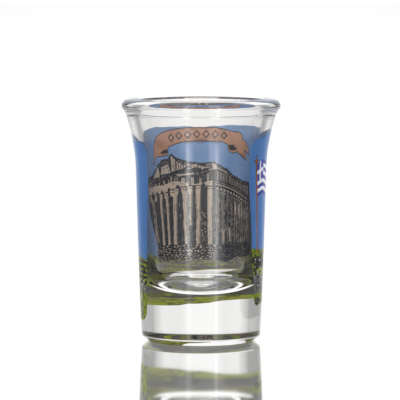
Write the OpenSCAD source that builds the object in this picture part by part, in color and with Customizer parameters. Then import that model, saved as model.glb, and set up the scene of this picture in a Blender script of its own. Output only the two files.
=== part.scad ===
// Souvenir shot glass: one pressed glass tumbler with a thick solid base, a round-bottomed
// bowl and a flared, beaded rim. A wrap-round picture of a ruined temple is fired on the
// outside, printed as one thin film per ink colour, with a clear window left at the front.
//
// Frame: millimetres, +Z up, origin at the centre of the foot ring. The clear window faces
// -Y, so the middle of the picture is on +Y.

/* [Glass] */
// Height over everything
glass_h = 60.4; // [55:0.1:70]
// Outside diameter over the rim bead
rim_d = 39.5; // [38:0.25:42]
// Outside diameter of the body just above the heel
foot_d = 29.2; // [27:0.2:31]
// Outside diameter of the body below the flare
body_d = 32.2; // [31:0.2:34]
// Inside diameter of the bowl below the flare
bore_d = 27.3; // [25:0.1:28]
// Solid glass under the middle of the bowl
base_t = 12.2; // [8:0.2:16]
// Depth of the hollow under the foot
punt_depth = 0.8; // [0.3:0.1:1.2]

/* [Print] */
// Thickness of one fired ink film
ink_t = 0.08; // [0.06:0.01:0.15]
// Height of the lower edge of the picture, where its plane meets the axis
print_low = 7.9; // [6:0.1:10]
// Height of the upper edge of the picture, where its plane meets the axis
print_high = 52; // [46:0.2:53]
// Angle that the picture covers to the left of its middle, at the waist
print_left = 133; // [110:1:140]
// Angle that the picture covers to the right of its middle, at the waist
print_right = 126; // [110:1:140]
// Height where the sky meets the ground
horizon = 21; // [18:0.5:26]

/* [Temple] */
// Columns along the front, to the right of the near corner
front_columns = 8; // [4:1:9]
// Columns along the side, to the left of the near corner
side_columns = 9; // [4:1:9]
// Height of the top step, where the columns stand
step_top = 22.8; // [19:0.2:24]

/* [Hidden] */
$fn = 96;

// Outer wall: a taper from the heel to the waist, then a parabolic flare to the neck
heel_h = 1.5;            // height of the bevel round the heel
heel_in = 1.62;          // how far the bevel comes in
waist_z = 40;            // height at which the body has body_d
flare_z = 43;            // start of the flare
neck_z = 56.75;          // top of the flare, under the bead
flare_out = 2.22;        // growth of the outer radius over the flare
taper_power = 0.75;      // 1 is a straight cone
// Inner wall
bore_draft = 0.026;      // growth of the bore radius per mm of height
flare_in = 1.6;          // growth of the bore radius over the flare
bowl_h = 11.5;           // height of the rounded bottom of the bowl
bowl_square = 0.75;      // 1 is an ellipse, less is squarer
// Rim: a round bead outside, tighter below its widest point, and a small rounding inside
bead_r = 1.7;
bead_low_r = 0.9;
bead_start = -50;        // direction in which the bead leaves the flare
lip_r = 0.7;
outer_bead = [rim_d / 2 - bead_r, glass_h - 2.0];
low_bead = [rim_d / 2 - bead_low_r, outer_bead.y];
top_bead = [outer_bead.x - 1.54, glass_h - lip_r];
// Foot
foot_ring_r = foot_d / 2 - heel_in;
punt_r = foot_ring_r - 1;
outer_step = 2.5;        // height of one band of the outer wall

function square_of(x) = x * x;
function flare(z) = square_of(max(0, z - flare_z) / (neck_z - flare_z));
function outer_r(z) = foot_d / 2 + (body_d - foot_d) / 2 * pow(z / waist_z, taper_power)
    + flare_out * flare(z);
function bore_r(z) = bore_d / 2 + bore_draft * (z - waist_z) + flare_in * flare(z);
function bowl_z(a) = base_t + bowl_h * (1 - pow(sin(a), bowl_square));
function arc(centre, r, from, to, steps) =
    [for (i = [0:steps]) let (a = from + (to - from) * i / steps)
        centre + r * [cos(a), sin(a)]];

// Outer wall from z0 to z1, in bands that are finer where the wall curves
function wall_heights(z0, z1) = concat([z0],
    [for (i = [1:40]) let (z = i * outer_step) if (z > z0 && z < z1 && z <= flare_z) z],
    [for (i = [1:20]) let (z = flare_z + i * outer_step / 2) if (z > z0 && z < z1) z],
    [z1]);
function wall_points(z0, z1, out = 0) = [for (z = wall_heights(z0, z1)) [outer_r(z) + out, z]];
function reversed(list) = [for (i = [len(list) - 1:-1:0]) list[i]];

// Direction in which one flat ring touches both roundings of the rim
bead_step = top_bead - outer_bead;
bead_lean = atan2(bead_step.y, bead_step.x) - acos((bead_r - lip_r) / norm(bead_step));

module glass_body() {
    rim_points = concat(
        arc(low_bead, bead_low_r, bead_start, 0, 4),
        arc(outer_bead, bead_r, bead_lean / 8, bead_lean, 7),
        arc(top_bead, lip_r, bead_lean, 180, 8));
    bore_points = [for (z = [neck_z:-outer_step / 2:flare_z]) [bore_r(z), z]];
    bowl_points = [for (i = [0:17]) let (a = 5 * i)
        [bore_r(bowl_z(a)) * pow(cos(a), bowl_square), bowl_z(a)]];
    punt_points = arc([0, punt_depth - punt_r * punt_r / (2 * punt_depth)],
        punt_r * punt_r / (2 * punt_depth), 90, 90 - 2 * atan(punt_depth / punt_r), 5);
    color("azure", 0.4)
    rotate_extrude()
        polygon(concat(
            [[0, punt_depth]],
            [for (p = punt_points) if (p.x > 0.01 && p.y > 0.005) p],
            [[punt_r, 0], [foot_ring_r, 0]],
            wall_points(heel_h, neck_z),
            rim_points, bore_points, bowl_points, [[0, base_t]]));
}

// One film of ink around the wall, from azimuth a0 to a1 counted from the middle of the
// picture, positive to the right of somebody who faces the picture
module film(z0, z1, a0, a1) {
    rotate([0, 0, 90 + a0])
        rotate_extrude(angle = a1 - a0)
            polygon(concat(wall_points(z0, z1), reversed(wall_points(z0, z1, ink_t))));
}

// A prism that cuts through the film on the side at azimuth a: its outline is drawn with x to
// the right of somebody who faces that side, and y up
module cutter(a) {
    rotate([0, 0, a])
        translate([0, rim_d, 0])
            rotate([90, 0, 0])
                mirror([1, 0, 0])
                    linear_extrude(rim_d - 2)
                        children();
}

// Place of a point of the picture, given by its azimuth and height, in a cutter at azimuth 0
function at(a, z) = [outer_r(z) * sin(a), z];

// Outline of the picture. Its upper and lower edges are cut by tilted planes, and its ends
// close in towards the foot, because the picture is drawn as a fan.
top_slope = [0.047, 0.113];   // rise of the upper edge per mm towards +X and +Y
low_slope = [0.13, 0.08];     // the same for the lower edge
left_lean = 0.42;            // lean of the left end, in degrees per mm of height
right_lean = 0.26;           // lean of the right end
corner_r = 4;
reach = 136;                 // azimuth where the films end before they are trimmed
end_a = 100;                 // azimuth that the cutters of the ends face
rise_max = 4;                // room above and below the tilted edges

function edge_z(h, slope, a) = h + outer_r(h) * (slope.y * cos(a) - slope.x * sin(a));

module beyond_plane(h, slope, up) {
    translate([0, 0, h])
        rotate([atan(slope.y), -atan(slope.x), 0])
            translate([-rim_d, -rim_d, up ? 0 : -20])
                cube([2 * rim_d, 2 * rim_d, 20]);
}
// Outline of one end, in a cutter that faces end_a. side is 1 for the right end, -1 for the
// left one, which is drawn mirrored.
module end_outline(side, end, lean) {
    low_end = end - lean * (waist_z - print_low);
    top = at(end - end_a, edge_z(print_high, top_slope, side * end));
    low = at(low_end - end_a, edge_z(print_low, low_slope, side * low_end));
    polygon(concat(
        [for (a = [60:10:end - 20]) at(a - end_a, edge_z(print_high, top_slope, side * a) + 0.2)],
        arc(top - [corner_r, corner_r], corner_r, 80, 0, 6),
        [at(end - end_a, waist_z)],
        arc(low + [-corner_r, corner_r], corner_r, 0, -80, 6),
        [for (a = [low_end - 20:-10:60])
            at(a - end_a, edge_z(print_low, low_slope, side * a) - 0.2)]));
}
module beyond_end(side, end, lean) {
    cutter(side * end_a)
        mirror([side > 0 ? 0 : 1, 0, 0])
            difference() {
                translate([-6, 0])
                    square([26, glass_h]);
                end_outline(side, end, lean);
            }
}
module around_picture() {
    beyond_plane(print_high, top_slope, true);
    beyond_plane(print_low, low_slope, false);
    beyond_end(-1, print_left, left_lean);
    beyond_end(1, print_right, right_lean);
}

// Temple: front to the right of the near corner and side to its left, both in perspective
near_a = -11.5;          // azimuth of the near corner
front_a = 72;            // azimuth of the far end of the front, at the eaves
side_a = -76;            // azimuth of the far end of the side
lean = 6;                // how far the outer ends lean in towards the foot, in degrees
eaves_near = 41.6;       // height of the eaves at the near corner
eaves_front = 40.3;      // height of the eaves at the far end of the front
eaves_side = 38.6;       // height of the eaves at the far end of the side
frieze_h = 4;            // height of the beams under the eaves
cornice_h = 1.9;         // height of the dark band at the top of the beams
plinth_h = 6;            // height of the rock under the columns
perspective = 1.2;       // how the columns close up towards the far ends

function along(a_end, t) = near_a + (a_end - near_a) * (1 - pow(1 - t, perspective));
function eaves(a_end, t) = eaves_near + ((a_end > 0 ? eaves_front : eaves_side) - eaves_near) * t;
function leaned(a, z) = a - sign(a) * lean * square_of(a / front_a)
    * (eaves_near - z) / (eaves_near - step_top);
function spot(a_end, t, z) = at(leaned(along(a_end, t), z), z);
function under_eaves(a_end, t, down) = spot(a_end, t, eaves(a_end, t) - down);

module temple_outline() {
    polygon([
        spot(front_a, 1, step_top), under_eaves(front_a, 1, 0),
        spot(front_a, 0.82, 43.3), spot(front_a, 0.74, 44.6), spot(front_a, 0.45, 46.2),
        spot(front_a, 0.3, 44.8), spot(front_a, 0.1, 43.8), spot(front_a, 0, 43.7),
        spot(side_a, 0.22, 42.1), spot(side_a, 0.5, 40.8), under_eaves(side_a, 1, 0),
        spot(side_a, 1, step_top), spot(side_a, 0.95, step_top - plinth_h),
        spot(side_a, 0, step_top - plinth_h), spot(front_a, 0.95, step_top - plinth_h)]);
}
module column(a_end, t, width) {
    top = eaves(a_end, t) - frieze_h;
    polygon([spot(a_end, t - width / 2, step_top), spot(a_end, t + width / 2, step_top),
        spot(a_end, t + width / 2, top), spot(a_end, t - width / 2, top)]);
}
module colonnade(a_end, count) {
    for (i = [0:count - 1])
        column(a_end, (i + 0.6) / count, 0.5 / count);
}
module beams(a_end) {
    polygon([under_eaves(a_end, 0, frieze_h), under_eaves(a_end, 1, frieze_h),
        under_eaves(a_end, 1, cornice_h), under_eaves(a_end, 0, cornice_h)]);
}
module gable_blocks() {
    for (t = [0.12:0.14:0.7])
        polygon([spot(front_a, t, 41.8), spot(front_a, t + 0.1, 41.8),
            spot(front_a, t + 0.08, 43.6), spot(front_a, t, 43.6)]);
}
module temple_stone() {
    colonnade(front_a, front_columns);
    colonnade(side_a, side_columns);
    beams(front_a);
    beams(side_a);
    gable_blocks();
}

// Banner: an arched ribbon over the temple with a forked tail at each end
banner_a = 50;           // azimuth of the ends of the arch
banner_z = 53.5;         // height of its upper edge in the middle
banner_h = 3.6;
banner_drop = 2.8;       // how much lower the ends of the arch are
tail_a = 59;             // azimuth of the tips of the tails
tail_z = 44;
function banner_at(t, up) = at(banner_a * t, banner_z - banner_drop * t * t - banner_h * up);
function tail(side) = [
    at(side * (banner_a + 7), banner_z - 5), at(side * (banner_a + 8), tail_z + 2.6),
    at(side * tail_a, tail_z), at(side * (banner_a + 4), tail_z + 1.8),
    at(side * (banner_a - 8), tail_z + 1.4)];
module banner_outline() {
    polygon(concat(
        [for (i = [-10:10]) banner_at(i / 10, 0)],
        tail(1),
        [for (i = [9:-1:-9]) banner_at(i / 10, 1)],
        reversed(tail(-1))));
}

// Flag on its pole, drawn in a cutter that faces flag_a and turned with the fan
flag_a = -119;
flag_turn = 6.5;
pole_w = 0.6;
pole_top = 45;
flag_w = 11;
flag_h = 8.1;
flag_top = 44;
stripes = 9;
stripe_h = flag_h / stripes;
canton = 5 * stripe_h;
module flag_cutter() {
    cutter(flag_a)
        translate([0, (horizon + pole_top) / 2])
            rotate(flag_turn)
                translate([0, -(horizon + pole_top) / 2])
                    children();
}
module pole_outline() {
    translate([-pole_w, horizon - 1])
        square([pole_w, pole_top - horizon + 1]);
    translate([-pole_w * 1.8, pole_top - 1.1])
        square([pole_w * 2.6, pole_w * 0.8]);
}
module flag_outline() {
    translate([0, flag_top - flag_h])
        square([flag_w, flag_h]);
}
// The stripes bite a little into the corner field, so that its blue squares end clear of the
// blue stripe between them
bite = 0.12;
module flag_white() {
    for (i = [1:2:stripes - 1]) {
        start = i < 5 ? canton - bite : 0;
        translate([start, flag_top - (i + 1) * stripe_h])
            square([flag_w - start, stripe_h]);
    }
    translate([0, flag_top - 3 * stripe_h])
        square([canton, stripe_h]);
    translate([2 * stripe_h, flag_top - canton])
        square([stripe_h, canton]);
}

// Ground: foliage over rock over foliage, down to the lower edge
rock_low = 11.5;
rock_high = 17;

module sky_print() {
    color("steelblue")
    difference() {
        film(horizon, print_high + rise_max, -reach, reach);
        around_picture();
        cutter(0) temple_outline();
        cutter(0) banner_outline();
        flag_cutter() pole_outline();
        flag_cutter() flag_outline();
    }
}
module foliage_print() {
    color("yellowgreen")
    difference() {
        union() {
            film(rock_high, horizon, -reach, reach);
            film(print_low - rise_max, rock_low, -reach, reach);
        }
        around_picture();
        cutter(0) temple_outline();
        flag_cutter() pole_outline();
    }
}
module rock_print() {
    color("dimgray")
    difference() {
        film(rock_low, rock_high, -reach, reach);
        around_picture();
        cutter(0) temple_outline();
    }
}
module temple_stone_print() {
    color("tan")
    intersection() {
        film(rock_low, print_high + rise_max, -82, 82);
        cutter(0) temple_stone();
    }
}
module temple_shadow_print() {
    color("darkslategray")
    intersection() {
        film(rock_low, print_high + rise_max, -82, 82);
        cutter(0) difference() {
            temple_outline();
            temple_stone();
        }
    }
}
module banner_print() {
    color("indianred")
    intersection() {
        film(horizon, print_high + rise_max, -82, 82);
        cutter(0) banner_outline();
    }
}
module flag_blue_print() {
    color("darkslateblue")
    intersection() {
        film(horizon, print_high, -reach, 0);
        flag_cutter() difference() {
            flag_outline();
            flag_white();
        }
    }
}
module flag_white_print() {
    color("white")
    intersection() {
        film(horizon, print_high, -reach, 0);
        flag_cutter() flag_white();
    }
}
module flagpole_print() {
    color("peru")
    intersection() {
        film(rock_high, print_high, -reach, 0);
        flag_cutter() pole_outline();
    }
}

glass_body();
sky_print();
foliage_print();
rock_print();
temple_stone_print();
temple_shadow_print();
banner_print();
flag_blue_print();
flag_white_print();
flagpole_print();
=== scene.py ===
"""Shot glass with a wrap-round fired picture: the visual model, in the CAD frame, in metres.

The picture is drawn in code as flat shapes, one over another, on the unrolled wall. They are
cut into one area per ink, so that the inks lie edge to edge, and each area becomes a thin
film on the glass with its own material.
"""

import bisect
import math
import random

import bpy
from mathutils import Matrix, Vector, geometry, noise


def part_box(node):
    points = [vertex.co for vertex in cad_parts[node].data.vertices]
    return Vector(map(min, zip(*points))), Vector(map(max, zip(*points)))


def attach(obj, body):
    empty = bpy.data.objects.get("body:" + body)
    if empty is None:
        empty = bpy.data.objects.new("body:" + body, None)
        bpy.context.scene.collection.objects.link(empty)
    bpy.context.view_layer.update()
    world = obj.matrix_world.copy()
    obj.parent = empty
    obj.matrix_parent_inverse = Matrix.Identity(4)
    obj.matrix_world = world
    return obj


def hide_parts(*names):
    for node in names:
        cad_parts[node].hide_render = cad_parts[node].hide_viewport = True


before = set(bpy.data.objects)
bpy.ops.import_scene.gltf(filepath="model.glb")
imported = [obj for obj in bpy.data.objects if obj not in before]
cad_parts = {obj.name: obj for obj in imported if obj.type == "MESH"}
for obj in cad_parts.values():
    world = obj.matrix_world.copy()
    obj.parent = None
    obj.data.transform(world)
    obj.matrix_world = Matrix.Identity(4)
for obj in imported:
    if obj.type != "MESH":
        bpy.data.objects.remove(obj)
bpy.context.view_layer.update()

MM = 0.001
GLASS_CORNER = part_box("glass_body")[1]
HEIGHT = GLASS_CORNER.z / MM
RIM_R = GLASS_CORNER.x / MM

# ---------------------------------------------------------------- shape of the glass, in mm

# outside radii at the foot and at the waist, and how the wall curves between them
FOOT_R = 14.6
BODY_R = 16.1
WAIST_Z = 40.0
TAPER_POWER = 0.75
# radius of the bore at the waist, and how much it grows for each mm of height
BORE_R = 13.65
BORE_DRAFT = 0.026
# the flare under the rim: where it starts and ends, and how far each side of the wall moves out
FLARE_Z = 43.0
NECK_Z = 56.75
FLARE_OUT = 2.22
FLARE_IN = 1.6
# the base under the bowl, and the bowl's round bottom: its height, and a power that is 1 for an
# ellipse and less for a squarer curve
BASE_T = 12.2
BOWL_H = 11.5
BOWL_SQUARE = 0.75
# the bevel round the foot, and the shallow hollow under it
HEEL_H = 1.5
HEEL_IN = 1.62
HEEL_BULGE = 0.014
WALL_START = HEEL_H + 0.3
FOOT_RING = 1.0
PUNT_R = FOOT_R - HEEL_IN - FOOT_RING
PUNT_DEPTH = 0.8
# the rim: an outer bead with its middle BEAD_DROP below the top, a tighter curve under it that
# starts at an angle of BEAD_START degrees, and a small lip at the bore
BEAD_R = 1.7
BEAD_DROP = 2.0
BEAD_LOW_R = 0.9
BEAD_START = -50
LIP_R = 0.7
LIP_IN = 1.54
# fineness of the mesh
WALL_STEP = 0.7
PUNT_STEP = 0.8
HEEL_STEPS = 8
BOWL_STEPS = 40
LATHE_STEPS = 192


def flare(z):
    """Share of the flare at a height: none up to FLARE_Z, all of it at NECK_Z."""
    return (max(0.0, z - FLARE_Z) / (NECK_Z - FLARE_Z)) ** 2


def outer_r(z):
    taper = (BODY_R - FOOT_R) * (max(z, 0.0) / WAIST_Z) ** TAPER_POWER
    return FOOT_R + taper + FLARE_OUT * flare(z)


def bore_r(z):
    return BORE_R + BORE_DRAFT * (z - WAIST_Z) + FLARE_IN * flare(z)


def arc(centre, radius, start, end, steps):
    """Points of an arc in the (radius, height) plane, angles in degrees."""
    points = []
    for i in range(steps + 1):
        angle = math.radians(start + (end - start) * i / steps)
        points.append(
            (centre[0] + radius * math.cos(angle), centre[1] + radius * math.sin(angle))
        )
    return points


def spread(start, end, step):
    """Evenly spaced numbers from start to end, both included."""
    count = max(1, round(abs(end - start) / step))
    return [start + (end - start) * i / count for i in range(count + 1)]


def glass_profile():
    """Half section of the glass, from the middle of the hollow foot round to the bowl's floor."""
    punt = []
    for r in spread(0.0, PUNT_R, PUNT_STEP):
        punt.append((r, PUNT_DEPTH * (1 - (r / PUNT_R) ** 2)))
    heel = []
    low, high = FOOT_R - HEEL_IN, outer_r(HEEL_H)
    for i in range(HEEL_STEPS + 1):
        t = i / HEEL_STEPS
        bulge = HEEL_BULGE * 4 * t * (1 - t)
        heel.append((low + (high - low) * t + bulge, HEEL_H * t - bulge * (1 - t)))
    wall = [(outer_r(z), z) for z in spread(WALL_START, NECK_Z, WALL_STEP)]
    outer_bead = (RIM_R - BEAD_R, HEIGHT - BEAD_DROP)
    top_bead = (RIM_R - BEAD_R - LIP_IN, HEIGHT - LIP_R)
    # the rim is flat where a line touches both of its round edges
    across, up = top_bead[0] - outer_bead[0], top_bead[1] - outer_bead[1]
    lean = math.degrees(
        math.atan2(up, across) - math.acos((BEAD_R - LIP_R) / math.hypot(across, up))
    )
    low_bead = (RIM_R - BEAD_LOW_R, outer_bead[1])
    bead = arc(low_bead, BEAD_LOW_R, BEAD_START, 0, steps=10)[:-1]
    bead += arc(outer_bead, BEAD_R, 0, lean, steps=12)
    bead += arc(top_bead, LIP_R, lean, 180, steps=16)
    bore = [(bore_r(z), z) for z in spread(NECK_Z, BASE_T + BOWL_H, WALL_STEP)]
    bowl = []
    for i in range(1, BOWL_STEPS + 1):
        angle = math.radians(90 * i / BOWL_STEPS)
        z = BASE_T + BOWL_H * (1 - math.sin(angle) ** BOWL_SQUARE)
        bowl.append((bore_r(z) * math.cos(angle) ** BOWL_SQUARE, z))
    return punt + heel + wall + bead + bore + bowl


def lathe(name, profile, steps):
    """A closed solid of revolution about Z. The profile starts and ends on the axis."""
    verts = [(0.0, 0.0, profile[0][1] * MM)]
    rings = profile[1:-1]
    for r, z in rings:
        for i in range(steps):
            angle = 2 * math.pi * i / steps
            verts.append((r * MM * math.cos(angle), r * MM * math.sin(angle), z * MM))
    verts.append((0.0, 0.0, profile[-1][1] * MM))
    last = len(verts) - 1
    faces = []
    for i in range(steps):
        j = (i + 1) % steps
        faces.append((0, 1 + j, 1 + i))
        faces.append((last, last - steps + i, last - steps + j))
    for k in range(len(rings) - 1):
        low = 1 + k * steps
        for i in range(steps):
            j = (i + 1) % steps
            faces.append((low + i, low + j, low + steps + j, low + steps + i))
    mesh = bpy.data.meshes.new(name)
    mesh.from_pydata(verts, [], faces)
    mesh.shade_smooth()
    obj = bpy.data.objects.new(name, mesh)
    bpy.context.scene.collection.objects.link(obj)
    return obj


# ------------------------------------------------------------------- drawing on the wall
# A point of the picture is (u, z). u is the azimuth in degrees at the waist, from the side away
# from the camera, and it grows towards the camera's left. z is the height in mm. The picture is a
# fan, so u closes in towards the foot. On the flat drawing one degree is ARC mm wide.

ARC = 0.28
FAN = 0.0028


def flat(u, z):
    """A point of the picture on the flat drawing, in mm."""
    return (u * (1 - FAN * max(0.0, WAIST_Z - z)) * ARC, z)


class Drawing:
    """Flat shapes, each over the ones before it."""

    def __init__(self, seed):
        self.shapes = []
        self.dice = random.Random(seed)

    def add(self, ink, points):
        """A shape whose points are (u, z)."""
        self.shapes.append((ink, [flat(u, z) for u, z in points]))

    def add_flat(self, ink, points):
        """A shape whose points are in flat mm."""
        self.shapes.append((ink, points))

    def line(self, ink, points, width):
        """A stroke along points that are (u, z). width is in mm."""
        path = [Vector(flat(u, z)) for u, z in points]
        left, right = [], []
        for i, p in enumerate(path):
            a = path[max(0, i - 1)]
            b = path[min(len(path) - 1, i + 1)]
            across = (b - a).normalized().orthogonal() * width / 2
            left.append(tuple(p + across))
            right.append(tuple(p - across))
        self.add_flat(ink, left + right[::-1])

    def blob(self, ink, u, z, wide, high, points=7, rough=0.35):
        """A ragged patch, wide and high in mm."""
        cx, cz = flat(u, z)
        turn = self.dice.uniform(0, 6.28)
        outline = []
        for i in range(points):
            angle = turn + 2 * math.pi * i / points
            r = 1 - rough * self.dice.random()
            outline.append(
                (
                    cx + wide / 2 * r * math.cos(angle),
                    cz + high / 2 * r * math.sin(angle),
                )
            )
        self.add_flat(ink, outline)

    def scatter(self, ink, count, u_range, z_range, wide, high, rough=0.4):
        """Ragged patches over a range of azimuth and of height. wide and high are in mm."""
        for _ in range(count):
            self.blob(
                ink,
                self.dice.uniform(*u_range),
                self.dice.uniform(*z_range),
                self.dice.uniform(*wide),
                self.dice.uniform(*high),
                self.dice.choice((5, 6, 7)),
                rough,
            )

    def strip(self, ink, u_low, u_high, z_low, z_high, wide, ragged):
        """An upright strip from (u_low, z_low) to (u_high, z_high), with a ragged long side.

        wide is in degrees, and so is ragged, the depth of the bites in that side.
        """
        left, right = [], []
        steps = max(4, round((z_high - z_low) / 1.1))
        for i in range(steps + 1):
            t = i / steps
            u = u_low + (u_high - u_low) * t
            z = z_low + (z_high - z_low) * t
            bite = ragged * self.dice.random() * (1.4 - t)
            left.append((u - wide / 2 + 0.15 * bite, z))
            right.append((u + wide / 2 - bite, z))
        self.add(ink, left + right[::-1])


# Inks, by the CAD node that each film stands for
SKY = "sky_print"
FOLIAGE = "foliage_print"
ROCK = "rock_print"
STONE = "temple_stone_print"
SHADOW = "temple_shadow_print"
BANNER = "banner_print"
FLAG_BLUE = "flag_blue_print"
FLAG_WHITE = "flag_white_print"
POLE = "flagpole_print"

# Top and lower edge of the picture. Each is a plane cut across the glass, with its height at the
# axis and its slope, then how ragged it is in mm, and how far it strays from the plane, as (u, mm)
TOP_EDGE = (
    52.0,
    (0.047, 0.113),
    0.16,
    (
        (-140, -0.8), (-118, -0.75), (-95, 0.0), (-20, -0.1), (0, -0.4), (16, 0.1), (50, 0.7),
        (70, 0.6), (88, 0.1), (101, -1.0), (126, -0.6), (140, -0.5),
    ),
)
LOW_EDGE = (
    7.9,
    (0.13, 0.08),
    0.45,
    ((-140, 0.0), (-6, 0.3), (0, -0.2), (20, -0.3), (140, 0.0)),
)
# Ends of the picture, seen from outside: azimuth at the waist, and degrees less for each mm below
LEFT_END = (-133.0, 0.42)
RIGHT_END = (126.0, 0.26)
# radius of its corners in mm, and how many radii before them its edges stop
CORNER = 3.6
CORNER_MARGIN = 1.1


def cut_z(edge, azimuth):
    """Height of an edge's plane cut at an azimuth in degrees."""
    at_axis, slope, _, _ = edge
    angle = math.radians(azimuth)
    lean = slope[1] * math.cos(angle) - slope[0] * math.sin(angle)
    return at_axis + outer_r(at_axis) * lean


def between(points, u):
    """Height at u on a broken line, whose points run from small u to large u."""
    for (u0, z0), (u1, z1) in zip(points, points[1:]):
        if u <= u1:
            break
    return z0 + (z1 - z0) * (u - u0) / (u1 - u0)


def ragged(x, z, size, scale):
    """How far a torn edge strays at a point."""
    return size * noise.noise(Vector((x * scale, z * scale, 3.7)))


def fillet(before, corner, after, radius, steps=8):
    """A rounded corner as a quadratic curve."""
    c = Vector(corner)
    a = c + (Vector(before) - c).normalized() * radius
    b = c + (Vector(after) - c).normalized() * radius
    curve = []
    for i in range(steps + 1):
        t = i / steps
        curve.append(tuple((1 - t) ** 2 * a + 2 * t * (1 - t) * c + t * t * b))
    return curve


def sharp_corner(end, edge):
    """Where an end and an edge of the picture would meet, in flat mm."""
    azimuth, lean = end
    side = 1 if azimuth > 0 else -1
    z = cut_z(edge, azimuth)
    return (side * (abs(azimuth) - lean * max(0.0, WAIST_Z - z)) * ARC, z)


def edge_line(edge, x0, x1):
    """The ragged line of an edge, in flat mm."""
    _, _, rough, wave = edge
    points = []
    for x in spread(x0, x1, 0.4):
        z = cut_z(edge, x / ARC) + between(wave, x / ARC)
        points.append((x, z + ragged(x, z, rough, 0.5) + ragged(x, z, rough / 2, 2.3)))
    return points


def picture_outline():
    """The whole picture's outline, with ragged edges and round corners, in flat mm."""
    low_left = sharp_corner(LEFT_END, LOW_EDGE)
    low_right = sharp_corner(RIGHT_END, LOW_EDGE)
    top_left = sharp_corner(LEFT_END, TOP_EDGE)
    top_right = sharp_corner(RIGHT_END, TOP_EDGE)
    waist_left = (LEFT_END[0] * ARC, WAIST_Z)
    waist_right = (RIGHT_END[0] * ARC, WAIST_Z)
    margin = CORNER * CORNER_MARGIN
    low = edge_line(LOW_EDGE, low_left[0] + margin, low_right[0] - margin)
    top = edge_line(TOP_EDGE, top_right[0] - margin, top_left[0] + margin)
    return (
        low
        + fillet(low[-1], low_right, waist_right, CORNER)
        + [waist_right]
        + fillet(waist_right, top_right, top[0], CORNER)
        + top
        + fillet(top[-1], top_left, waist_left, CORNER)
        + [waist_left]
        + fillet(waist_left, low_left, low[0], CORNER)
    )


def band(d, ink, low, top, u0, u1, step=3.0):
    """The area between two broken lines."""
    us = spread(u0, u1, step)
    d.add(ink, [(u, between(top, u)) for u in us] + [(u, between(low, u)) for u in us[::-1]])


# Azimuths of the part that faces the camera, which holds the temple, and a bound past both ends
BACK = (-84, 84)
FAR = 140
# Lines of the picture, as (u, z) from the camera's right to its left
HORIZON = (
    (-140, 23.5), (-84, 23.2), (-60, 21.0), (62, 19.0), (80, 21.0), (98, 21.9), (126, 21.1),
    (140, 20.6),
)
ROCK_TOP = ((-140, 17.0), (-84, 17.0), (-50, 18.5), (0, 17.2), (60, 16.4), (84, 14.6), (140, 14.4))
ROCK_LOW = ((-140, 12.4), (-84, 12.2), (-40, 11.6), (0, 11.0), (40, 12.2), (84, 12.4), (140, 12.6))
ROOF = (
    (-80, 38.8), (-48, 39.2), (-39, 40.0), (-32, 40.8), (-28, 42.0), (-17, 43.3), (-14, 43.8),
    (-10, 43.8), (0, 43.5), (8, 43.8), (20, 44.4), (28, 45.2), (30, 46.0), (33.5, 46.0),
    (36, 44.7), (45, 44.4), (50, 43.6), (57, 42.0), (63, 40.7), (80, 40.2),
)
BASE = ((-80, 20.6), (-40, 18.0), (-29, 16.4), (-15, 17.8), (-7, 17.2), (36, 16.8), (62, 16.5))
FEET = ((-80, 24.4), (-42, 23.4), (-14, 22.8), (60, 22.8))
CORNICE = ((-80, 38.2), (-48, 38.6), (-30, 40.4), (-17, 42.4), (-10, 41.2), (22, 40.5), (76, 38.9))
BEAM_TOP = ((-12, 39.0), (1, 38.2), (8, 38.0), (20, 38.7), (30, 38.8), (41, 38.1), (77, 37.7))
BEAM_LOW = ((-12, 37.6), (8, 37.8), (28, 37.1), (41, 36.1), (56, 35.8), (77, 35.9))
SIDE_BEAM = ((-80, 32.8), (-54, 34.6), (-37, 36.1), (-26, 37.0), (-14, 37.6))


def horizon_z(u):
    """Height where the ground starts, along the picture."""
    wave = 0.5 * noise.noise(Vector((u * 0.09, 1.3, 0)))
    return between(HORIZON, u) + wave + 0.35 * noise.noise(Vector((u * 0.4, 5.1, 0)))


def draw_ground(d):
    """Grass with a belt of rock in it, and the bushes at both ends."""
    top = [(u, horizon_z(u)) for u in spread(-FAR, FAR, 1.5)]
    d.add(FOLIAGE, [(-FAR, 2)] + top + [(FAR, 2)])
    rock_top, rock_low = [], []
    for u in spread(-FAR, FAR, 2):
        wave = 0.9 * noise.noise(Vector((u * 0.12, 9.0, 0)))
        rock_top.append((u, between(ROCK_TOP, u) + wave))
        rock_low.append((u, between(ROCK_LOW, u) + 0.7 * wave))
    d.add(ROCK, rock_top + rock_low[::-1])
    # bushes and grass over the rock, and rock showing through the grass
    d.scatter(FOLIAGE, 90, BACK, (13.0, 19.0), (1.0, 4.0), (0.35, 0.9))
    d.scatter(ROCK, 30, BACK, (9.5, 11.4), (1.0, 3.5), (0.2, 0.6))
    d.scatter(ROCK, 16, (62, 100), (17.0, 20.0), (0.8, 2.5), (0.2, 0.6))
    d.scatter(ROCK, 14, (0, 70), (9.4, 10.8), (2.0, 5.0), (0.3, 0.6))
    # long strokes of shade across the grass
    d.scatter(SHADOW, 40, BACK, (8.6, 11.6), (1.0, 3.2), (0.08, 0.2))
    d.scatter(SHADOW, 90, BACK, (11.5, 17.0), (0.4, 2.0), (0.1, 0.3))
    d.scatter(STONE, 26, (60, 84), (14.0, 16.4), (0.4, 1.2), (0.15, 0.4))
    draw_bushes(d, (-130, BACK[0]), 18.0, 23.4, crowd=2)
    draw_bushes(d, (BACK[1], 124), 14.8, 20.6, crowd=1)


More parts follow.
